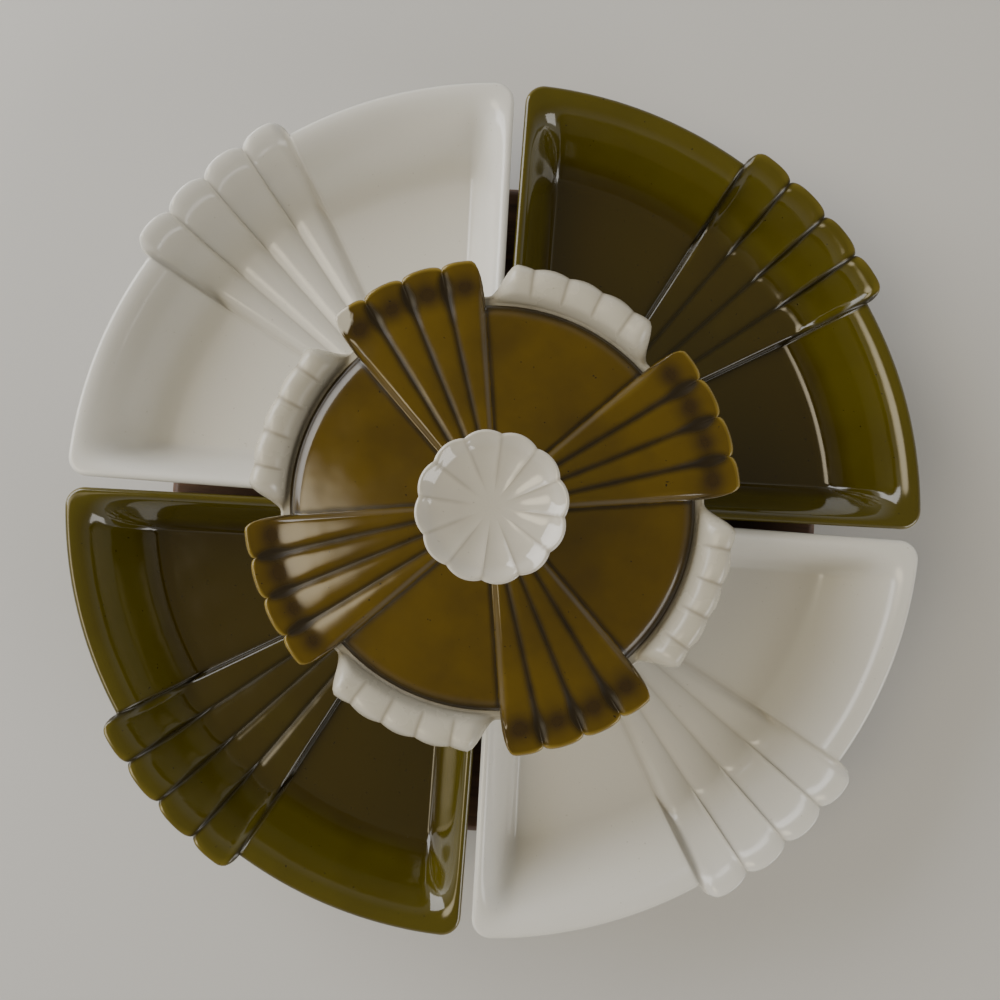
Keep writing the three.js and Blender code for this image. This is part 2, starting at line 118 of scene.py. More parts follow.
def storeLayer(mesh, label, values):
    layer = mesh.attributes.new(label, "FLOAT", "POINT")
    layer.data.foreach_set("value", values.astype(np.float32))


# Stores how hollow (+) or edge-like (-) the surface is, for the glaze to pool by
def addHollow(piece, spread, rounds=6):
    mesh = piece.data
    count = len(mesh.vertices)
    spots = pointsOf(mesh)
    normal = np.array([v.normal for v in mesh.vertices])
    ends = np.empty(len(mesh.edges) * 2, int)
    mesh.edges.foreach_get("vertices", ends)
    a, b = ends.reshape(-1, 2).T
    length = np.linalg.norm(spots[a] - spots[b], axis=1) + 1e-7
    tilt = (spots[b] - spots[a]) / length[:, None] ** 2
    hollow = np.zeros(count)
    weight = np.zeros(count)
    np.add.at(hollow, a, np.einsum("ij,ij->i", tilt, normal[a]) * length)
    np.add.at(hollow, b, -np.einsum("ij,ij->i", tilt, normal[b]) * length)
    np.add.at(weight, a, length)
    np.add.at(weight, b, length)
    hollow /= weight + 1e-9
    for _ in range(rounds):
        total = hollow.copy()
        near = np.ones(count)
        np.add.at(total, a, hollow[b])
        np.add.at(total, b, hollow[a])
        np.add.at(near, a, 1)
        np.add.at(near, b, 1)
        hollow = total / near
    storeLayer(mesh, "hollow", np.clip(hollow * spread, -1, 1))


# Stores valueAt(x, y, z) over the piece's points, in mm
def addLayer(piece, label, valueAt):
    x, y, z = pointsOf(piece.data).T / mm
    storeLayer(piece.data, label, np.clip(valueAt(x, y, z), 0, 1))


# profileAt(angles) gives rings of radius and height in mm; a smooth curve runs through them
def spunPiece(name, profileAt, angles, bottom, turn=0.0, steps=6, bend=None):
    radius, height = profileAt(angles)
    middle = np.stack([radius.mean(1), height.mean(1)], 1)
    gaps = np.linalg.norm(np.diff(middle, axis=0), axis=1) ** 0.5 + 1e-6
    knots = np.concatenate([[0], np.cumsum(gaps)])
    rows = np.stack([radius, height], 2)
    speed = np.gradient(rows, knots, axis=0)
    rings = []
    for k in range(len(knots) - 1):
        span = knots[k + 1] - knots[k]
        for t in np.linspace(0, 1, steps, endpoint=False):
            rings.append((2 * t**3 - 3 * t**2 + 1) * rows[k] + (t**3 - 2 * t**2 + t) * span * speed[k]
                         + (3 * t**2 - 2 * t**3) * rows[k + 1] + (t**3 - t**2) * span * speed[k + 1])
    rings.append(rows[-1])
    rings = rings[1:-1]  # the two ends lie on the axis and become single points
    size = len(angles)
    points = [(0, 0, rows[0, 0, 1] * mm + bottom)]
    for ring in rings:
        r = np.maximum(ring[:, 0], 0.01) * mm
        a = (bend(angles, r / mm) if bend else angles) + turn
        points.extend(zip(r * np.cos(a), r * np.sin(a), ring[:, 1] * mm + bottom))
    points.append((0, 0, rows[-1, 0, 1] * mm + bottom))
    top = len(points) - 1
    faces = [tuple(i + 1 for i in f) for f in loopFaces(len(rings), size)]
    first = 1 + (len(rings) - 1) * size
    for i in range(size):
        j = (i + 1) % size
        faces.append((0, 1 + j, 1 + i))
        faces.append((top, first + i, first + j))
    return meshPiece(name, points, faces)


# Rings of (radius, height), where either may vary with the angle
def asProfile(rings, angles):
    one = np.ones_like(angles)
    return np.array([r * one for r, _ in rings]), np.array([z * one for _, z in rings])


def constantProfile(rings):
    return lambda angles: asProfile(rings, angles)


def roundAngles(count):
    return np.linspace(0, fullTurn, count, endpoint=False)


def newMaterial(name):
    material = bpy.data.materials.new(name)
    material.use_nodes = True
    tree = material.node_tree
    return material, tree, tree.nodes["Principled BSDF"]


def node(tree, kind, **values):
    made = tree.nodes.new(kind)
    for key, value in values.items():
        if key in made.inputs:
            made.inputs[key].default_value = value
        else:
            setattr(made, key, value)
    return made


def newGroup(name, inputs, outputs):
    group = bpy.data.node_groups.new(name, "ShaderNodeTree")
    for label, (kind, value) in inputs.items():
        socket = group.interface.new_socket(name=label, in_out="INPUT", socket_type="NodeSocket" + kind)
        socket.default_value = value
    for label, kind in outputs.items():
        group.interface.new_socket(name=label, in_out="OUTPUT", socket_type="NodeSocket" + kind)
    return group, group.nodes.new("NodeGroupInput"), group.nodes.new("NodeGroupOutput")


def useGroup(tree, group, **values):
    made = tree.nodes.new("ShaderNodeGroup")
    made.node_tree = group
    for label, value in values.items():
        made.inputs[label].default_value = value
    return made


def objectNoise(group, scale, detail=3.0, rough=0.55):
    coords = group.nodes.new("ShaderNodeTexCoord")
    noise = node(group, "ShaderNodeTexNoise", Scale=scale, Detail=detail, Roughness=rough)
    group.links.new(coords.outputs["Object"], noise.inputs["Vector"])
    return noise.outputs["Fac"]


def ramp(tree, source, low, high, toLow=0.0, toHigh=1.0):
    made = node(tree, "ShaderNodeMapRange")
    for label, value in (("From Min", low), ("From Max", high), ("To Min", toLow), ("To Max", toHigh)):
        made.inputs[label].default_value = value
    tree.links.new(source, made.inputs["Value"])
    return made.outputs["Result"]


def feed(tree, value, socket):
    if hasattr(value, "is_output"):
        tree.links.new(value, socket)
    else:
        socket.default_value = value


def combine(tree, operation, *values):
    made = node(tree, "ShaderNodeMath", operation=operation)
    for socket, value in zip(made.inputs, values):
        feed(tree, value, socket)
    return made.outputs[0]


def colourMix(tree, factor, first, second):
    made = tree.nodes.new("ShaderNodeMix")
    made.data_type = "RGBA"
    for socket, value in ((made.inputs[0], factor), (made.inputs[6], first), (made.inputs[7], second)):
        feed(tree, value, socket)
    return made.outputs[2]


def addBump(tree, shader, height, strength, distance):
    bump = node(tree, "ShaderNodeBump", Strength=strength, Distance=distance)
    tree.links.new(height, bump.inputs["Height"])
    tree.links.new(bump.outputs["Normal"], shader.inputs["Normal"])


# Glaze runs thin over edges and pools in hollows; it also clouds softly and holds a few pits. The pool colour
# also paints shade beside the fans' sides and round the lid's rim.
def glazeGroup():
    group, given, result = newGroup(
        "glazeFlow",
        {"Body": ("Color", (0.5, 0.5, 0.5, 1)), "Thin": ("Color", (0.7, 0.7, 0.7, 1)),
         "Pool_and_shade": ("Color", (0.1, 0.1, 0.1, 1)), "Deep": ("Color", (0.2, 0.2, 0.2, 1)),
         "Cloud": ("Float", 0.2), "Matte": ("Float", 0.0), "Coat": ("Float", 0.4)},
        {"Colour": "Color", "Rough": "Float", "Height": "Float", "Coat": "Float"},
    )

    def layer(name):
        return node(group, "ShaderNodeAttribute", attribute_name=name).outputs["Fac"]

    clouds = objectNoise(group, 22.0, 4.0)
    cloudy = combine(group, "MULTIPLY", ramp(group, clouds, 0.42, 0.7), given.outputs["Cloud"])
    hollow = combine(group, "MULTIPLY_ADD", clouds, 0.3, layer("hollow"))
    mottled = combine(group, "MULTIPLY_ADD", objectNoise(group, 45.0, 5.0), 0.5, layer("deep"))
    # the pool layer holds pooled glaze and, on the trays and the lid, painted shade
    gatheredAndShade = combine(group, "MULTIPLY_ADD", objectNoise(group, 70.0, 3.0), 0.45, layer("pool_and_shade"))
    pool_and_shade = ramp(group, gatheredAndShade, 0.3, 1.15)
    pits = ramp(group, objectNoise(group, 520.0, 1.0), 0.76, 0.8)
    base = given.outputs["Body"]
    for mask, colour in ((ramp(group, mottled, 0.35, 1.15), "Deep"), (cloudy, "Deep"),
                         (ramp(group, hollow, 0.02, -0.45), "Thin"),
                         (ramp(group, hollow, 0.22, 0.75), "Pool_and_shade"), (pool_and_shade, "Pool_and_shade"), (pits, "Pool_and_shade")):
        base = colourMix(group, mask, base, given.outputs[colour])
    chip = ramp(group, layer("chip"), 0.3, 0.45)
    base = colourMix(group, chip, base, (0.6, 0.55, 0.44, 1))  # bare clay
    uneven = ramp(group, objectNoise(group, 60.0), 0.35, 0.7, 0.07, 0.15)
    rough = combine(group, "ADD", uneven, given.outputs["Matte"])
    coat = combine(group, "MULTIPLY", ramp(group, pool_and_shade, 0.0, 0.5, 1.0, 0.0), given.outputs["Coat"])
    for label, value in (("Colour", base), ("Rough", combine(group, "MULTIPLY_ADD", pool_and_shade, 0.2, rough)),
                         ("Coat", coat), ("Height", ramp(group, objectNoise(group, 38.0, 2.0), 0.2, 0.8))):
        group.links.new(value, result.inputs[label])
    return group


def glazeMaterial(name, look):
    material, tree, shader = newMaterial(name)
    settings = {label.capitalize(): value for label, value in look.items() if label != "ripple"}
    flow = useGroup(tree, glazeFlow, **settings)
    tree.links.new(flow.outputs["Colour"], shader.inputs["Base Color"])
    tree.links.new(flow.outputs["Rough"], shader.inputs["Roughness"])
    addBump(tree, shader, flow.outputs["Height"], look["ripple"], 0.0006)
    shader.inputs["IOR"].default_value = 1.52
    tree.links.new(flow.outputs["Coat"], shader.inputs["Coat Weight"])
    shader.inputs["Coat Roughness"].default_value = 0.04
    return material


glazeFlow = glazeGroup()
oliveGlaze = glazeMaterial("oliveGlaze", {
    "body": (0.084, 0.066, 0.002, 1), "thin": (0.21, 0.16, 0.02, 1), "deep": (0.043, 0.029, 0.001, 1),
    "pool_and_shade": (0.02, 0.014, 0.001, 1), "cloud": 0.3, "ripple": 0.3, "matte": 0.0, "coat": 0.4})
whiteGlaze = glazeMaterial("whiteGlaze", {
    "body": (0.75, 0.73, 0.67, 1), "thin": (0.8, 0.78, 0.73, 1), "deep": (0.73, 0.705, 0.64, 1),
    "pool_and_shade": (0.6, 0.575, 0.51, 1), "cloud": 0.3, "ripple": 0.2, "matte": 0.09, "coat": 0.25})
creamGlaze = glazeMaterial("creamGlaze", {
    "body": (0.56, 0.52, 0.42, 1), "thin": (0.64, 0.6, 0.5, 1), "deep": (0.5, 0.46, 0.36, 1),
    "pool_and_shade": (0.38, 0.34, 0.26, 1), "cloud": 0.3, "ripple": 0.3, "matte": 0.16, "coat": 0.15})
knobGlaze = glazeMaterial("knobGlaze", {
    "body": (0.6, 0.56, 0.47, 1), "thin": (0.72, 0.69, 0.6, 1), "deep": (0.55, 0.51, 0.42, 1),
    "pool_and_shade": (0.46, 0.42, 0.34, 1), "cloud": 0.3, "ripple": 0.2, "matte": 0.0, "coat": 0.5})
amberGlaze = glazeMaterial("amberGlaze", {
    "body": (0.108, 0.065, 0.001, 1), "thin": (0.25, 0.17, 0.02, 1), "deep": (0.034, 0.018, 0.002, 1),
    "pool_and_shade": (0.016, 0.009, 0.001, 1), "cloud": 0.4, "ripple": 0.35, "matte": 0.03, "coat": 0.3})


def walnutMaterial():
    material, tree, shader = newMaterial("walnut")
    coords = tree.nodes.new("ShaderNodeTexCoord")
    stretch = node(tree, "ShaderNodeMapping")
    stretch.inputs["Scale"].default_value = (0.6, 11.0, 11.0)  # grain runs along X
    tree.links.new(coords.outputs["Object"], stretch.inputs["Vector"])
    grain = node(tree, "ShaderNodeTexNoise", Scale=10.0, Detail=8.0, Roughness=0.62, Distortion=0.25)
    pores = node(tree, "ShaderNodeTexNoise", Scale=90.0, Detail=3.0)
    for noise in (grain, pores):
        tree.links.new(stretch.outputs["Vector"], noise.inputs["Vector"])
    colour = colourMix(tree, ramp(tree, grain.outputs["Fac"], 0.35, 0.68),
                       (0.035, 0.013, 0.005, 1), (0.15, 0.066, 0.026, 1))
    colour = colourMix(tree, ramp(tree, pores.outputs["Fac"], 0.62, 0.72, 0, 0.7), colour,
                       (0.018, 0.008, 0.004, 1))
    tree.links.new(colour, shader.inputs["Base Color"])
    tree.links.new(ramp(tree, grain.outputs["Fac"], 0.3, 0.7, 0.5, 0.34), shader.inputs["Roughness"])
    addBump(tree, shader, pores.outputs["Fac"], 0.3, 0.0003)
    return material


def hardMaterial(name, light, dark, metal, rough, grainScale, strength):
    material, tree, shader = newMaterial(name)
    coords = tree.nodes.new("ShaderNodeTexCoord")
    blotch = node(tree, "ShaderNodeTexNoise", Scale=grainScale * 0.15, Detail=4.0)
    fine = node(tree, "ShaderNodeTexNoise", Scale=grainScale, Detail=3.0)
    for noise in (blotch, fine):
        tree.links.new(coords.outputs["Object"], noise.inputs["Vector"])
    tree.links.new(colourMix(tree, ramp(tree, blotch.outputs["Fac"], 0.35, 0.65), light, dark),
                   shader.inputs["Base Color"])
    tree.links.new(ramp(tree, fine.outputs["Fac"], 0.3, 0.7, rough * 0.8, rough * 1.25),
                   shader.inputs["Roughness"])
    addBump(tree, shader, fine.outputs["Fac"], strength, 0.0002)
    shader.inputs["Metallic"].default_value = metal
    return material


walnut = walnutMaterial()
zincSteel = hardMaterial("zincSteel", (0.56, 0.57, 0.58, 1), (0.42, 0.43, 0.43, 1), 1.0, 0.34, 700, 0.2)
ballSteel = hardMaterial("ballSteel", (0.66, 0.67, 0.69, 1), (0.58, 0.59, 0.6, 1), 1.0, 0.1, 900, 0.03)
nylon = hardMaterial("nylon", (0.72, 0.69, 0.6, 1), (0.64, 0.6, 0.5, 1), 0.0, 0.48, 600, 0.15)
rubber = hardMaterial("rubber", (0.02, 0.019, 0.018, 1), (0.032, 0.03, 0.028, 1), 0.0, 0.75, 900, 0.35)
print("materials made")


def place(piece, material, body, nodeName):
    piece.data.materials.append(material)
    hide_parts(nodeName)
    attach(piece, body)


traySize = {
    "outer": 218.4, "inner": 84.0, "halfGap": 0.6, "gapSlope": 0.0105,
    "height": 42.0, "floor": 8.0, "recess": 2.5, "footWidth": 7.5,
    "lip": 2.3, "wallOuter": 42.0, "wallSide": 22.0, "wallInner": 18.0,
    "corner": 10.0, "fanSpread": 0.28, "fanStart": 47.0, "rise": 0.024, "sink": 1.2,
    "heel": 0.7, "heelCorner": 8,
}
trayFlutes = {  # the olive trays were cast crisply, and the white ones softly
    "olive": {"flutes": 4, "reach": 6.6, "scallop": 3.4, "endPower": 2.8, "crown": 0.1,
              "grooveWidth": 2.0, "grooveDepth": 0.15, "edgeWidth": 2.6, "poolWidth": 1.5},
    "white": {"flutes": 4, "reach": 5.6, "scallop": 4.4, "endPower": 2.0, "crown": 0.3,
              "grooveWidth": 3.2, "grooveDepth": 0.28, "edgeWidth": 6.0, "poolWidth": 1.2},
}


# The fan's half width as an angle; its sides would meet past the spin axis
def fanHalfAt(r):
    return traySize["fanSpread"] * (1 - traySize["fanStart"] / r)


# Crosswise: -1 to 1 over the fan, out to 2 at the side
def trayStations():
    flute = easedSteps(18)[:-1]
    fan = np.concatenate([(-1 + (k + flute) / 2) for k in range(4)] + [[1.0]])
    beside = np.concatenate([1 + np.linspace(0.012, 0.06, 4), 1 + np.linspace(0.1, 0.78, 14),
                             1.78 + 0.22 * np.linspace(0.08, 1, 12)])
    return np.concatenate([-beside[::-1], fan, beside])


def trayShares():
    end = 0.09 * np.linspace(0, 1, 7)
    return np.concatenate([end, np.linspace(0.09, 0.91, 26)[1:-1], 1 - end[::-1]])


# Height of the fan, its reach past the plain rim, where it is present, and the distance to a groove
def fanShape(s, r, style):
    look = trayFlutes[style]
    height, bulge, fromGroove = fluteForm(s, r * fanHalfAt(r), look)
    roundSide = np.sqrt(1 - clamp((np.abs(s) - 0.86) / 0.14) ** 2)
    reach = np.where(np.abs(s) < 1, look["reach"] * roundSide + look["scallop"] * bulge, 0.0)
    return height, reach, smooth((1 - np.abs(s)) / 0.06), fromGroove


# Plan place of points: inset is (outer, side, inner) in mm
def trayPlan(station, share, inset, reachShare, style):
    size = traySize
    s = np.where(np.abs(station) <= 1, station, 1.0)
    low = size["inner"] + inset[2]
    plain = low + (size["outer"] - inset[0] - low) * share
    reach = fanShape(s, plain, style)[1]
    r = plain + reach * reachShare * share
    gap = size["halfGap"] + size["gapSlope"] * plain + inset[1]
    half = math.pi / 4 - np.arcsin(gap / plain)
    away = np.abs(station)
    fan = fanHalfAt(r)
    angle = np.where(away <= 1, station * fan, np.sign(station) * (fan + (half - fan) * (away - 1)))
    return np.stack([r * np.cos(angle), r * np.sin(angle)], -1)


# Pulls the points near each sharp corner onto a round one
def roundCorners(loop, corner, knees):
    if corner <= 0.01:
        return loop
    loop = loop.copy()
    count = len(loop)
    source = loop.copy()
    for knee in knees:
        here = source[knee]
        def reachTo(step):
            i = knee
            while np.linalg.norm(source[i] - here) < corner:
                i = (i + step) % count
            back = (i - step) % count
            near = np.linalg.norm(source[back] - here)
            far = np.linalg.norm(source[i] - here)
            t = (corner - near) / max(far - near, 1e-9)
            return source[back] * (1 - t) + source[i] * t
        before, after = reachTo(-1), reachTo(1)
        for step, sign in ((1, 1), (-1, -1)):
            i = knee
            while np.linalg.norm(source[i] - here) < corner:
                share = 1 - np.linalg.norm(source[i] - here) / corner
                t = 0.5 + sign * (1 - share) / 2
                w = np.array([(1 - t) ** 2, math.sqrt(2) * t * (1 - t), t**2])
                loop[i] = (w[0] * before + w[1] * here + w[2] * after) / w.sum()
                i = (i + step) % count
    return loop


def trayLoop(stations, shares, inset, reachShare, corner, style):
    outer = trayPlan(stations, np.ones_like(stations), inset, reachShare, style)
    inner = trayPlan(stations[::-1], np.zeros_like(stations), inset, reachShare, style)
    between = shares[1:-1]
    left = trayPlan(np.full_like(between, 2.0), between[::-1], inset, reachShare, style)
    right = trayPlan(np.full_like(between, -2.0), between, inset, reachShare, style)
    loop = np.concatenate([outer, left, inner, right])
    n, m = len(stations), len(between)
    return roundCorners(loop, corner, [0, n - 1, n + m, 2 * n + m - 1])


# Height of the upper surface over each plan point, walls and flutes blended
def trayHeight(plan, style):
    size = traySize
    x, y = plan[..., 0], plan[..., 1]
    r = np.hypot(x, y)
    angle = np.arctan2(y, x)
    s = np.clip(angle / fanHalfAt(r), -1, 1)
    height, reach, inside, _ = fanShape(s, r, style)
    gap = size["halfGap"] + size["gapSlope"] * r
    sideGap = r * np.sin(np.maximum(math.pi / 4 - np.abs(angle), 0)) - gap
    lip = size["lip"]
    walls = (
        wallSlope((size["outer"] + reach - lip - r) / (size["wallOuter"] - lip)),
        wallSlope((sideGap - lip) / (size["wallSide"] - lip)),
        wallSlope((r - size["inner"] - lip) / (size["wallInner"] - lip)),
    )
    hollow = (1 - walls[0]) * (1 - walls[1]) * (1 - walls[2])
    base = size["floor"] + (size["height"] - size["floor"]) * (1 - hollow)
    fade = smooth((r - size["inner"] - lip) / size["wallInner"])
    return base + (size["rise"] * r * height - size["sink"] * inside * walls[0]) * fade


# Glaze gathers in the grooves; the dark band along both sides of the fan is painted shade
def trayPoolAndShade(r, angle, style):
    angle = (angle + math.pi) % (2 * math.pi) - math.pi
    look = trayFlutes[style]
    s = angle / fanHalfAt(r)
    fromGroove = fanShape(s, r, style)[3]
    fromSide = (np.abs(s) - 1) * r * fanHalfAt(r) + 0.7
    # the second term is painted shade along the fan's sides
    gatheredAndShade = np.exp(-((fromGroove / look["poolWidth"]) ** 2)) + 0.9 * np.exp(-((fromSide / 1.8) ** 2))
    return gatheredAndShade * smooth((r - traySize["inner"] - 6) / 14)


def makeTray(name, style, turn):
    size = traySize
    stations, shares = trayStations(), trayShares()
    full = (size["wallOuter"], size["wallSide"], size["wallInner"])
    rim = size["height"]

    def insets(edge, share):
        return tuple(edge + (width - edge) * share for width in full)

    rings = []  # (insets, reach, corner, plain height, how much of the upper surface's height)
    foot, heel, corner = size["footWidth"], size["heel"], size["heelCorner"]
    rings.append((tuple(w + foot + 1.5 for w in full), 0, 0, size["recess"], 0))
    rings.append((tuple(w + foot for w in full), 0, 1, 0.5, 0))
    rings.append((tuple(w + foot - 1.2 for w in full), 0, 3, 0.0, 0))
    rings.append((tuple(w + 1.0 for w in full), 0, corner, 0.0, 0))
    rings.append((full, 0, corner, heel, 0))
    for x in np.linspace(0.95, 0, 20):
        low = heel + (rim - size["lip"] - heel) * float(wallSlope(x))
        rings.append((insets(0.0, x), 1 - x, corner + (size["corner"] - corner) * (1 - x), low, 0))
    for turnUp in np.linspace(0, 90, 8)[1:]:
        c, s = math.cos(turnUp * deg), math.sin(turnUp * deg)
        inset = size["lip"] * (1 - c)
        rings.append(((inset,) * 3, 1, size["corner"] - inset, rim - size["lip"] * (1 - s), s ** 2))
    for x in np.linspace(0, 1, 34)[1:]:
        rings.append((insets(size["lip"], x), 1 - x, (size["corner"] - size["lip"]) * (1 - x), None, 1))

    points = []
    for inset, reachShare, corner, height, upper in rings:
        plan = trayLoop(stations, shares, inset, reachShare, corner, style)
        top = trayHeight(plan, style)
        z = top if height is None else height + (top - rim) * upper
        points.extend(np.column_stack([plan, np.broadcast_to(z, len(plan))]))
    loopSize = len(points) // len(rings)
    faces = loopFaces(len(rings), loopSize)

    # Fills the middle of a ring with a grid that shares the ring's own points
    def cap(ringIndex, upward):
        inset, reachShare = rings[ringIndex][0], rings[ringIndex][1]
        n, m = len(stations), len(shares) - 2
        start = ringIndex * loopSize
        ids = np.zeros((len(shares), n), int)
        ids[-1] = start + np.arange(n)
        ids[0] = start + n + m + np.arange(n)[::-1]
        ids[1:-1, -1] = start + n + np.arange(m)[::-1]
        ids[1:-1, 0] = start + 2 * n + m + np.arange(m)
        for row in range(1, len(shares) - 1):
            inner = trayPlan(stations[1:-1], np.full(n - 2, shares[row]), inset, reachShare, style)
            z = trayHeight(inner, style) if upward else np.full(n - 2, size["recess"])
            ids[row, 1:-1] = len(points) + np.arange(n - 2)
            points.extend(np.column_stack([inner, z]))
        for a in range(len(shares) - 1):
            for b in range(n - 1):
                quad = (ids[a, b], ids[a + 1, b], ids[a + 1, b + 1], ids[a, b + 1])
                faces.append(tuple(int(i) for i in (quad if upward else quad[::-1])))

    cap(len(rings) - 1, True)
    cap(0, False)
    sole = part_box(name)[0].z
    x, y, z = (np.array(points) * mm).T
    c, s = math.cos(turn), math.sin(turn)
    solid = np.column_stack([x * c - y * s, x * s + y * c, z + sole])
    piece = meshPiece(name + "_glazed", solid, faces)
    addHollow(piece, 0.0045)
    addLayer(piece, "deep", lambda x, y, z: smooth(1 - (z - sole / mm - size["floor"]) / 16))
    # pooled glaze in the grooves, and painted shade along the fans' sides
    addLayer(piece, "pool_and_shade", lambda x, y, z: trayPoolAndShade(np.hypot(x, y), np.arctan2(y, x) - turn, style))
    return piece


for k, (name, style) in enumerate((("tray_olive_a", "olive"), ("tray_white_a", "white"),
                                   ("tray_olive_b", "olive"), ("tray_white_b", "white"))):
    tray = makeTray(name, style, (45 + 90 * k) * deg)
    place(tray, oliveGlaze if style == "olive" else whiteGlaze, name, name)
print("trays made")


coverTurn = (45 - 19.3) * deg
bowlSize = {"ledge": 89.5, "crest": 101.0, "crestRadius": 110.5, "crestHalf": 24 * deg, "crestEnd": 7 * deg,
            "gapRadius": 98.3, "scallop": 1.4, "lobePitch": 8.6 * deg}
lidSize = {"radius": 93.5, "edge": 5.0, "dome": 8.0, "fanRadius": 111.5, "fanSpread": 0.32, "fanPast": 8.0,
           "rise": 1.0, "riseGrowth": 0.018, "scallop": 2.5, "seat": 18.0,
           "chipAngle": (43.7 + 90 - 1.3) * deg, "chipRadius": 110.0, "chipSize": 3.6}
lidFlutes = {"flutes": 4, "endPower": 2.8, "crown": 0.14,
             "grooveWidth": 2.2, "grooveDepth": 0.22, "edgeWidth": 3.0}
knobSize = {"radius": 31.95, "height": 34.45, "petals": 12, "notch": 1.1}


def fromAxis(angles):
    return angles - math.pi / 2 * np.round(angles / (math.pi / 2))


def fourTimes(quarter):
    return np.concatenate([quarter + k * math.pi / 2 for k in range(4)])


def bowlProfile(angles):
    size = bowlSize
    away = np.abs(fromAxis(angles))
    crest = smooth((away - (math.pi / 4 - size["crestHalf"])) / size["crestEnd"])
    swell = crest * (1 - acrossLobe((away - math.pi / 4) / size["lobePitch"] + 0.5) ** 2)
    ledge, gap = size["ledge"], size["gapRadius"]
    rise = size["crest"] - ledge
    flare = (size["crestRadius"] - gap) * crest
    rings = [
        (0, 3), (46, 3), (48.5, 0.4), (50.5, 0), (55.5, 0), (57.2, 1.2), (68, 18), (79, 42), (88, 62),
        (94 + 4 * crest, 78),
        (gap + flare - 1 + size["scallop"] * swell, ledge - 3 + rise * 0.45 * crest),
        (gap + flare + size["scallop"] * swell, ledge - 1.5 + rise * 0.68 * crest),
        (gap - 0.6 * (1 - crest) + 0.85 * flare,
         ledge - 0.3 * (1 - crest) + crest * (rise - 1.7 + 1.5 * swell)),
        (gap - 1.5 * (1 - crest) + 0.45 * flare, ledge + crest * (rise - 0.8 + 0.8 * swell)),
        (96.7 + 1.9 * crest, ledge + crest * (rise - 3.4 + 0.4 * swell)), (95.8, ledge + crest * 2),
        (95, ledge), (84, ledge), (82, ledge - 4), (82, 70), (74, 42), (60, 18), (44, 8), (0, 8),
    ]
    return asProfile(rings, angles)


# The fans' sides would meet a little past the middle, so a fan takes a wider angle near the knob
def lidFanHalf(r):
    return lidSize["fanSpread"] * (1 + lidSize["fanPast"] / np.maximum(r, 25))


rimFan = lidFanHalf(lidSize["fanRadius"])


def lidBend(angles, r):
    away = fromAxis(angles)
    fan = lidFanHalf(r)
    quarterHalf = math.pi / 4
    outside = fan + (np.abs(away) - rimFan) * (quarterHalf - fan) / (quarterHalf - rimFan)
    return angles - away + np.where(np.abs(away) < rimFan, away * fan / rimFan, np.sign(away) * outside)


def lidProfile(angles):
    size = lidSize
    s = fromAxis(angles) / rimFan
    present = np.where(np.abs(s) < 1, smooth((1 - np.abs(s)) / 0.05), 0.0)
    radius, edge, seat = size["radius"], size["edge"], size["seat"]
    swell, bulge, _ = fluteForm(s, size["fanRadius"] * rimFan, lidFlutes)
    roundSide = np.where(np.abs(s) < 1, np.sqrt(1 - clamp((np.abs(s) - 0.86) / 0.14) ** 2), 0.0)
    reach = (size["fanRadius"] - radius) * roundSide + size["scallop"] * bulge * np.sign(roundSide)

    def crown(r):
        plain = edge + size["dome"] * (1 - clamp((r - seat) / (radius - seat)) ** 1.6)
        return plain + (size["rise"] + size["riseGrowth"] * r) * fluteForm(s, r * lidFanHalf(r), lidFlutes)[0]

    tip = radius + reach
    dip = radius + 0.35 * reach
    rings = [
        (0, 11), (50, 7.6), (74, -1), (75, -7), (79, -7), (81, 0), (83, 0), (91.5, 0),
        (tip - 3, 0.4 + 1.2 * present), (tip, 1.4 + 2.0 * present + 0.8 * swell),
        (tip - 1.2, edge - 1.4 + 1.9 * present + 2.6 * swell),
        ((radius - 1.5) * (1 - present) + (tip - 4) * present, edge - 0.7 + 0.7 * present + 2.9 * swell),
        ((radius - 3) * (1 - present) + dip * present, edge - 0.2 - 0.4 * present + 2.2 * swell),
        (radius - 7, crown(radius - 7)), (76, crown(76)), (62, crown(62)), (44, crown(44)),
        (30, crown(30)), (seat + 3, crown(seat + 3)), (seat, edge + size["dome"]), (0, edge + size["dome"]),
    ]
    return asProfile(rings, angles)


def knobProfile(angles):
    size = knobSize
    petal = 1 - acrossLobe(angles * size["petals"] / (2 * math.pi)) ** 2  # each petal is a shallow scoop
    rim, height = size["radius"] - size["notch"] + 1.7 * petal, size["height"]
    rings = [
        (0, 0), (14, 0), (15.5, 1.6), (10.5, 6), (9, 12), (13, 19), (22, 26), (rim - 1.5, height - 2.6),
        (rim, height - 1), (rim - 0.8, height - 0.6 + 0.6 * petal), (rim - 2.2, height - 0.9 + 0.3 * petal),
        (26, height - 3.1 - 0.9 * petal), (19, height - 5.9 - 0.8 * petal),
        (12, height - 8.3 - 0.4 * petal), (5, height - 9.5), (0, height - 9.7),
    ]
    return asProfile(rings, angles)


lobeSteps = np.concatenate(
    [bowlSize["lobePitch"] / deg * (k - 2.5 + easedSteps(12)[:-1]) for k in range(5)] + [[21.5]])
bowlAngles = fourTimes(np.concatenate([np.linspace(-22.5, 22.5, 62), 45 + lobeSteps]) * deg)
bowl = spunPiece("bowl_glazed", bowlProfile, bowlAngles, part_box("bowl")[0].z, coverTurn)


# Glaze gathers in the creases between the crests' lobes
def crestPool(x, y, z):
    away = np.abs(fromAxis(np.arctan2(y, x) - coverTurn))
    lobe = np.abs(acrossLobe((away - math.pi / 4) / bowlSize["lobePitch"] + 0.5))
    onCrest = smooth((away - (math.pi / 4 - 22 * deg)) / (2 * deg)) * smooth((np.hypot(x, y) - 96) / 4)
    return onCrest * np.exp(-(((1 - lobe) * 8.3 / 1.1) ** 2))  # a lobe is about 8.3 mm from crease to middle


addHollow(bowl, 0.004)
addLayer(bowl, "pool_and_shade", crestPool)
place(bowl, creamGlaze, "bowl", "bowl")

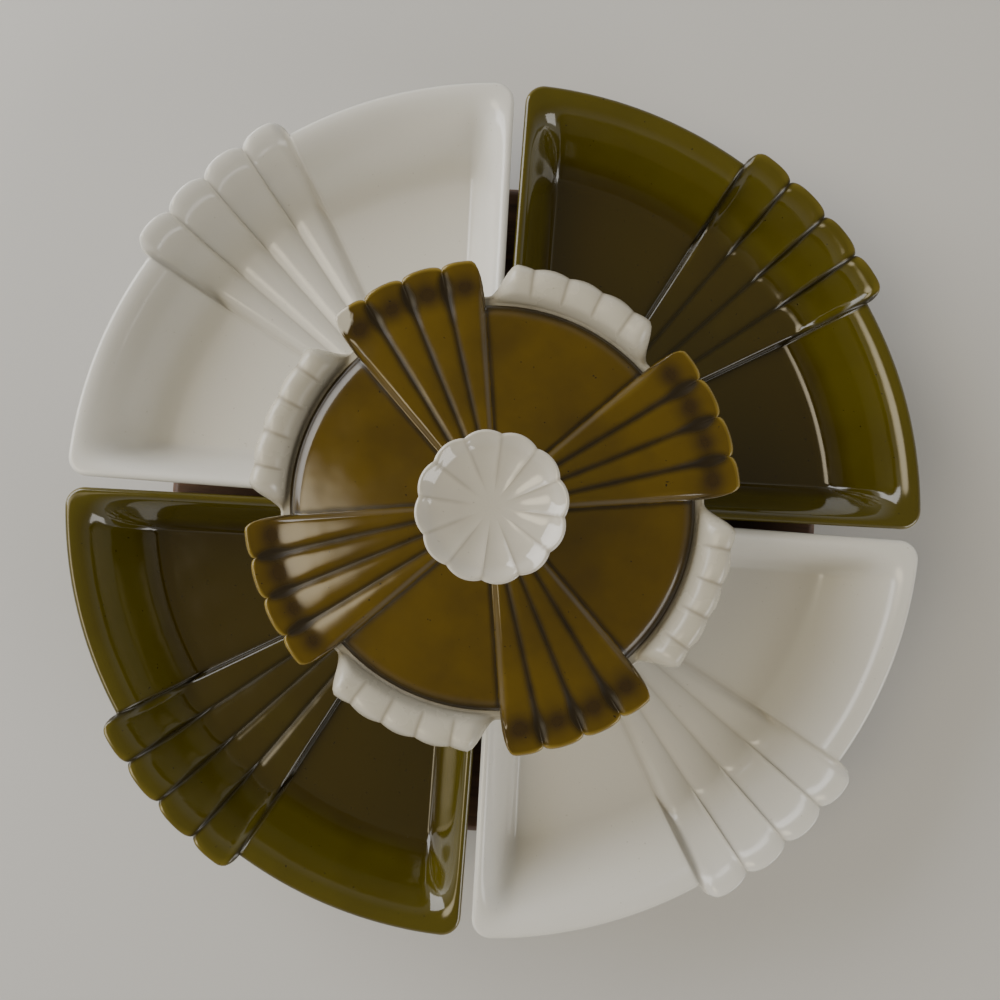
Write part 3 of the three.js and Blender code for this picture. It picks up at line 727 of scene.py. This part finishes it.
fanSteps = np.concatenate([(-1 + (k + easedSteps(18)[:-1]) * 0.5) for k in range(4)] + [[1.0]]) * rimFan
besideFan = np.linspace(rimFan + 0.4 * deg, math.pi / 2 - rimFan - 0.4 * deg, 46)
lidAngles = fourTimes(np.concatenate([fanSteps, besideFan]))
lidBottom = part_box("lid")[0].z + 7 * mm  # the plug under the lid reaches 7 mm below its seat
lid = spunPiece("lid_glazed", lidProfile, lidAngles, lidBottom, coverTurn, bend=lidBend)


# Where a point of the lid lies: its radius, its place across a fan (within -1 to 1), and how many mm
# it is past the fan's side
def onLid(x, y):
    r, away = np.hypot(x, y), fromAxis(np.arctan2(y, x) - coverTurn)
    s = away / lidFanHalf(r)
    return r, s, (np.abs(s) - 1) * r * lidFanHalf(r)


# Brown patches lie on the flutes' backs, a little in from their tips
def lidDepth(x, y, z):
    r, s, pastSide = onLid(x, y)
    u = acrossLobe((np.clip(s, -0.999, 0.999) + 1) * 2)
    patch = 0.1 + 0.95 * np.exp(-(((r - 101.5) / 5.5) ** 2)) * np.exp(-((u / 0.75) ** 2))
    return np.where(pastSide < 0, patch, 0.26)


# The grooves run dark, and darkest where they widen near the tips; the dark bands beside the fans' sides and
# round the rim are painted shade
def lidPoolAndShade(x, y, z):
    r, s, pastSide = onLid(x, y)
    fromGroove = fluteForm(s, r * lidFanHalf(r), lidFlutes)[2]
    nearTip = np.exp(-(((r - 102) / 6.5) ** 2))
    groove = (0.85 + 0.4 * nearTip) * np.exp(-((fromGroove / (1.3 + 0.006 * r + 2.0 * nearTip)) ** 2))
    groove = groove * smooth((lidSize["fanRadius"] + 1 - r) / 5)
    # painted shade: a dark band on the lid body beside each fan's side
    beside = 0.85 * np.exp(-(((pastSide - 0.7) / 1.3) ** 2))
    # painted shade: a dark ring round the lid's rolled rim
    rim = 0.9 * np.exp(-(((r - lidSize["radius"] + 1.2) / 2.4) ** 2))
    return np.where(pastSide < 0, groove, np.maximum(beside, rim))


def lidChip(x, y, z):
    spotX, spotY = (lidSize["chipRadius"] * part(lidSize["chipAngle"]) for part in (np.cos, np.sin))
    away = np.hypot(x - spotX, (y - spotY) * 0.7) + 0.6 * np.sin(2.3 * x + 1.1 * z)
    return 1 - away / (2 * lidSize["chipSize"])


addHollow(lid, 0.006)
addLayer(lid, "deep", lidDepth)
# pooled glaze in the grooves, and painted shade beside the fans and round the rim
addLayer(lid, "pool_and_shade", lidPoolAndShade)
addLayer(lid, "chip", lidChip)
place(lid, amberGlaze, "cover", "lid")

knobAngles = np.concatenate([(k + easedSteps(16)[:-1]) for k in range(12)]) * 2 * math.pi / 12
knob = spunPiece("knob_glazed", knobProfile, knobAngles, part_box("lid_knob")[0].z, coverTurn)


# Glaze gathers in the creases between the knob's petals too
def knobPool(x, y, z):
    r = np.hypot(x, y)
    lobe = np.abs(acrossLobe((np.arctan2(y, x) - coverTurn) * knobSize["petals"] / (2 * math.pi)))
    fromCrease = (1 - lobe) * r * math.pi / knobSize["petals"]
    return 0.9 * smooth((r - 5) / 14) * np.exp(-((fromCrease / 0.9) ** 2))


addHollow(knob, 0.003)
addLayer(knob, "pool_and_shade", knobPool)
place(knob, knobGlaze, "cover", "lid_knob")
print("bowl, lid and knob made")


def boardPiece(name, cadNode, edge, body, recess=None):
    low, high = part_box(cadNode)
    radius, height = (high.x - low.x) / 2 / mm, (high.z - low.z) / mm
    bend = [(edge * math.sin(t), edge * (1 - math.cos(t))) for t in np.linspace(0, math.pi / 2, 7)]
    profile = [(0, 0), (radius * 0.5, 0)]
    profile += [(radius - edge + dx, dz) for dx, dz in bend]
    profile += [(radius - edge + dx, height - dz) for dx, dz in bend[::-1]]
    if recess:
        across, deep = recess
        profile += [(across + 0.3, height), (across, height - 0.2), (across - 0.1, height - deep)]
        profile += [(across * 0.5, height - deep), (0, height - deep)]
    else:
        profile += [(radius * 0.5, height), (0, height)]
    angles = roundAngles(192)
    piece = spunPiece(name, constantProfile(profile), angles, low.z, steps=2)
    place(piece, walnut, body, cadNode)
    return piece


boardPiece("turntable_wood", "turntable_board", 5.0, "turntable", recess=(60.0, 1.0))
baseWood = boardPiece("base_wood", "base_board", 3.0, "base")


# Bores round holes right through a piece, along Z; spots are in mm
def drill(piece, spots, radius, sides=48):
    heights = [v.co.z / mm for v in piece.data.vertices]
    angles = roundAngles(sides)
    points, faces = [], []
    for x, y in spots:
        first = len(points)
        for z in (min(heights) - 2, max(heights) + 2):
            points.extend(((x + radius * math.cos(a)) * mm, (y + radius * math.sin(a)) * mm, z * mm)
                          for a in angles)
        faces.extend(tuple(first + i for i in face) for face in loopFaces(2, sides))
        faces.append(tuple(range(first + sides - 1, first - 1, -1)))
        faces.append(tuple(range(first + sides, first + 2 * sides)))
    cutter = meshPiece("cutter", points, faces)
    cut = piece.modifiers.new("holes", "BOOLEAN")
    cut.operation, cut.object, cut.solver = "DIFFERENCE", cutter, "EXACT"
    whole = piece.evaluated_get(bpy.context.evaluated_depsgraph_get())
    mesh = bpy.data.meshes.new_from_object(whole)
    tidy = bmesh.new()
    tidy.from_mesh(mesh)
    bmesh.ops.remove_doubles(tidy, verts=tidy.verts, dist=0.02 * mm)
    bmesh.ops.dissolve_degenerate(tidy, edges=tidy.edges, dist=0.01 * mm)
    tidy.to_mesh(mesh)
    tidy.free()
    piece.modifiers.clear()
    piece.data = mesh
    bpy.data.objects.remove(cutter)
    mesh.set_sharp_from_angle(angle=sharpEdge)


swivelSize = {
    "side": 152.0, "corner": 12.0, "sheet": 1.2, "bore": 40.0, "raceInner": 51.6, "raceOuter": 60.4,
    "screwCircle": 62 * math.sqrt(2), "screwHole": 2.3, "cageInner": 52.2, "cageOuter": 59.8,
    "ballCircle": 56.0, "balls": 16, "pocket": 3.1,
    "bevel": 0.2, "raceTop": 3.6, "flange": 2.8, "flangeThick": 0.8,
    "hook": 1.8, "hookLow": 1.6, "hookTop": 2.5, "skirt": 3.6,
}
screwSize = {"head": 3.8, "headHeight": 2.2, "shank": 2.0, "slot": 0.5, "slotDepth": 1.1, "slotReach": 2.3}

drill(baseWood, [(swivelSize["screwCircle"], 0)], 8.0)  # under the board's screws as they pass


# A closed ring: its profile runs anticlockwise in (radius, height), in mm, and either may vary with the angle
def ringPiece(name, profile, angles, spot):
    points = []
    for radius, height in profile:
        r = radius * np.ones_like(angles) * mm
        z = height * np.ones_like(angles) * mm + spot.z
        points.extend(zip(r * np.cos(angles) + spot.x, r * np.sin(angles) + spot.y, z))
    size = len(angles)
    faces = loopFaces(len(profile), size)
    last = (len(profile) - 1) * size
    for i in range(size):
        j = (i + 1) % size
        faces.append((last + i, last + j, j, i))
    piece = meshPiece(name, points, faces)
    piece.data.set_sharp_from_angle(angle=sharpEdge)
    return piece


# Distance from the middle to the edge of a square plate with round corners
def plateEdge(angles, turn):
    half, corner = swivelSize["side"] / 2, swivelSize["corner"]
    c, s = np.abs(np.cos(angles - turn)), np.abs(np.sin(angles - turn))
    flat = half / np.maximum(c, s)
    middle = half - corner
    towards = middle * (c + s)
    rounded = towards + np.sqrt(np.maximum(towards**2 - 2 * middle**2 + corner**2, 0))
    return np.where(flat * np.minimum(c, s) <= middle, flat, rounded)


def plateAngles(turn):
    quarter = np.concatenate([np.linspace(-40, 40, 33)[:-1], np.linspace(40, 50, 15)[:-1]]) * deg
    return fourTimes(quarter) + turn


def onCircle(radius, count, turn=0.0):
    turns = [turn + k * fullTurn / count for k in range(count)]
    return [(radius * math.cos(a), radius * math.sin(a)) for a in turns]


def middleAt(low, high, z):
    return Vector(((low.x + high.x) / 2, (low.y + high.y) / 2, z))


# The lower race is a trough for the balls, with a flange turned out from its outer wall
def makeLowerPlate():
    s, bevel = swivelSize, swivelSize["bevel"]
    angles = plateAngles(0)
    edge, sheet, top = plateEdge(angles, 0), s["sheet"], s["raceTop"]
    inner, outer = s["raceInner"], s["raceOuter"]
    tip, under = outer + s["flange"], top - s["flangeThick"]
    profile = [
        (s["bore"] + bevel, 0), (edge - bevel, 0), (edge, bevel), (edge, sheet - bevel),
        (edge - bevel, sheet), (outer + sheet, sheet), (outer + sheet, under), (tip - bevel, under),
        (tip, under + bevel), (tip, top - bevel), (tip - bevel, top), (outer + bevel, top),
        (outer, top - bevel), (outer, sheet), (inner, sheet), (inner, top - bevel),
        (inner - bevel, top), (inner - sheet + bevel, top), (inner - sheet, top - bevel),
        (inner - sheet, sheet), (s["bore"] + bevel, sheet), (s["bore"], sheet - bevel), (s["bore"], bevel),
    ]
    spot = Vector((0, 0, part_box("bearing_lower_plate")[0].z))
    piece = ringPiece("lower_plate_pressed", profile, angles, spot)
    drill(piece, onCircle(s["screwCircle"], 4, math.pi / 4), s["screwHole"], 32)
    place(piece, zincSteel, "base", "bearing_lower_plate")


# The upper race is a skirt that hooks in under that flange
def makeUpperPlate():
    s, bevel, turn = swivelSize, swivelSize["bevel"], math.pi / 4
    low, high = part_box("bearing_lower_plate")[0].z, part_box("bearing_upper_plate")[1].z
    angles = plateAngles(turn)
    edge, sheet, top = plateEdge(angles, turn), s["sheet"], (high - low) / mm
    hookIn, skirt = s["raceOuter"] + s["hook"], s["raceOuter"] + s["skirt"]
    hookLow, hookTop = s["hookLow"], s["hookTop"]
    profile = [
        (s["bore"] + bevel, top - sheet), (skirt, top - sheet), (skirt, hookTop), (hookIn + bevel, hookTop),
        (hookIn, hookTop - bevel), (hookIn, hookLow + bevel), (hookIn + bevel, hookLow),
        (skirt + sheet - 2 * bevel, hookLow), (skirt + sheet, hookLow + 2 * bevel),
        (skirt + sheet, top - sheet), (edge - bevel, top - sheet), (edge, top - sheet + bevel),
        (edge, top - bevel), (edge - bevel, top), (s["bore"] + bevel, top), (s["bore"], top - bevel),
        (s["bore"], top - sheet + bevel),
    ]
    piece = ringPiece("upper_plate_pressed", profile, angles, Vector((0, 0, low)))
    drill(piece, onCircle(s["screwCircle"], 4), s["screwHole"], 32)
    place(piece, zincSteel, "turntable", "bearing_upper_plate")


def makeCage():
    s, bevel = swivelSize, 0.3
    low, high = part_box("ball_cage")
    top = (high.z - low.z) / mm
    profile = [
        (s["cageInner"] + bevel, 0), (s["cageOuter"] - bevel, 0), (s["cageOuter"], bevel),
        (s["cageOuter"], top - bevel), (s["cageOuter"] - bevel, top), (s["cageInner"] + bevel, top),
        (s["cageInner"], top - bevel), (s["cageInner"], bevel),
    ]
    angles = roundAngles(192)
    piece = ringPiece("cage_moulded", profile, angles, Vector((0, 0, low.z)))
    drill(piece, onCircle(s["ballCircle"], s["balls"]), s["pocket"], 32)
    place(piece, nylon, "ball_ring", "ball_cage")


def makeBall(name):
    low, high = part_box(name)
    radius = (high.z - low.z) / 2 / mm
    profile = [(radius * math.sin(t), radius * (1 - math.cos(t))) for t in np.linspace(0, math.pi, 19)]
    angles = roundAngles(36)
    ball = spunPiece(name + "_polished", constantProfile(profile), angles, 0, steps=1)
    ball.data.transform(Matrix.Translation(middleAt(low, high, low.z)))
    place(ball, ballSteel, "ball_ring", name)


# A pan-head screw with a crossed slot, head down unless it is turned over
def makeScrew(name, body, headUp=False):
    s = screwSize
    low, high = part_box(name)
    length = (high.z - low.z) / mm
    angles = roundAngles(64)

    def slotted(r):
        fromArm = r * np.minimum(np.abs(np.sin(angles)), np.abs(np.cos(angles)))
        return r, s["slotDepth"] * (1 - r / s["slotReach"]) ** 0.3 * smooth((s["slot"] - fromArm) / 0.12)

    rings = [(0, s["slotDepth"])] + [slotted(r) for r in (0.35, 0.7, 1.0, 1.3, 1.6, 1.9, 2.15)]
    rings += [(2.35, 0.03), (2.9, 0.18), (3.4, 0.55), (3.7, 1.1), (s["head"], 1.6),
              (s["head"], s["headHeight"]), (s["shank"], s["headHeight"]),
              (s["shank"], length - 2), (0, length)]
    screw = spunPiece(name + "_turned", constantProfile(rings), angles, 0, steps=1)
    if headUp:
        screw.data.transform(Matrix.Rotation(math.pi, 4, "X"))
    screw.data.set_sharp_from_angle(angle=sharpEdge)
    end = high.z if headUp else low.z
    screw.data.transform(Matrix.Translation(middleAt(low, high, end)))
    place(screw, zincSteel, body, name)


makeLowerPlate()
makeUpperPlate()
makeCage()
for k in range(swivelSize["balls"]):
    makeBall(f"ball_{k + 1:02d}")
for k in range(4):
    makeScrew(f"base_screw_{k + 1}", "base", headUp=True)
    makeScrew(f"board_screw_{k + 1}", "turntable")
    makeScrew(f"foot_screw_{k + 1}", "base")
print("swivel made")

footSize = {"well": 4.6, "depth": 2.8, "radius": 10.0, "height": 5.0, "bore": 2.3}


def makeFoot(name):
    low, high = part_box(name)
    s = footSize
    profile = [(s["well"], 0.4), (s["well"] + 0.4, 0), (s["radius"] - 1.6, 0), (s["radius"] - 0.5, 0.4),
               (s["radius"], 1.5), (s["radius"], s["height"] - 0.3), (s["radius"] - 0.3, s["height"]),
               (s["bore"], s["height"]), (s["bore"], s["depth"]), (s["well"], s["depth"])]
    angles = roundAngles(48)
    spot = middleAt(low, high, low.z)
    place(ringPiece(name + "_moulded", profile, angles, spot), rubber, "base", name)


for k in range(4):
    makeFoot(f"foot_{k + 1}")

print("turntable and base made")


def makeFloor():
    floor = meshPiece("floor", [(-3, -3, 0), (3, -3, 0), (3, 3, 0), (-3, 3, 0)], [(0, 1, 2, 3)])
    material, _, shader = newMaterial("paleFloor")
    shader.inputs["Base Color"].default_value = (0.62, 0.61, 0.59, 1)
    shader.inputs["Roughness"].default_value = 0.7
    floor.data.materials.append(material)


def areaLight(name, spot, size, power, tint, aim=(0, 0, 0.08)):
    light = bpy.data.lights.new(name, "AREA")
    light.shape = "RECTANGLE"
    light.size, light.size_y = size
    light.energy = power
    light.color = tint
    lamp = bpy.data.objects.new(name, light)
    bpy.context.scene.collection.objects.link(lamp)
    lamp.location = spot
    lamp.rotation_euler = (Vector(aim) - Vector(spot)).to_track_quat("-Z", "Y").to_euler()


makeFloor()
areaLight("window", (-1.5, 0.75, 0.95), (1.6, 1.3), 34, (0.97, 0.98, 1.0))
areaLight("sideFill", (1.9, -1.3, 1.1), (1.5, 1.1), 22, (1.0, 0.98, 0.95))


# A pale room, dimmer and warmer straight above, with a soft warm glow from the left
def makeWorld():
    world = bpy.data.worlds.new("studio")
    bpy.context.scene.world = world
    world.use_nodes = True
    tree = world.node_tree
    way = tree.nodes.new("ShaderNodeTexCoord")
    parts = tree.nodes.new("ShaderNodeSeparateXYZ")
    tree.links.new(way.outputs["Generated"], parts.inputs["Vector"])
    shade = colourMix(tree, ramp(tree, parts.outputs["Z"], 0.1, 0.8),
                      (0.76, 0.78, 0.8, 1), (0.26, 0.235, 0.18, 1))
    toGlow = node(tree, "ShaderNodeVectorMath", operation="DOT_PRODUCT")
    toGlow.inputs[1].default_value = Vector((-0.68, -0.16, 1)).normalized()
    tree.links.new(way.outputs["Generated"], toGlow.inputs[0])
    glow = node(tree, "ShaderNodeMapRange", interpolation_type="SMOOTHERSTEP")
    glow.inputs["From Min"].default_value = 0.958
    tree.links.new(toGlow.outputs["Value"], glow.inputs["Value"])
    shade = colourMix(tree, glow.outputs["Result"], shade, (6.5, 5.7, 4.1, 1))
    tree.links.new(shade, tree.nodes["Background"].inputs["Color"])
    tree.nodes["Background"].inputs["Strength"].default_value = 0.82


makeWorld()

view = {"roll": 3.75 * deg, "overRim": 0.52, "right": 0.003, "up": -0.003,
        "leanRight": 0.001, "leanUp": 0.0137, "lens": 36.8}


def makeCamera():
    camera = bpy.data.objects.new("camera", bpy.data.cameras.new("camera"))
    bpy.context.scene.collection.objects.link(camera)
    right = Vector((math.cos(view["roll"]), math.sin(view["roll"]), 0))
    up = Vector((-right.y, right.x, 0))
    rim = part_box("tray_olive_a")[0].z + traySize["height"] * mm
    camera.location = right * view["right"] + up * view["up"] + Vector((0, 0, rim + view["overRim"]))
    ahead = (right * view["leanRight"] + up * view["leanUp"] + Vector((0, 0, -1))).normalized()
    across = ahead.cross(up).normalized()
    turned = Matrix((across, across.cross(ahead), -ahead)).transposed()
    camera.rotation_euler = turned.to_euler()
    camera.data.lens = view["lens"]
    camera.data.sensor_width = 36
    camera.data.clip_start = 0.01
    bpy.context.scene.camera = camera


makeCamera()
print("floor, light and camera made")
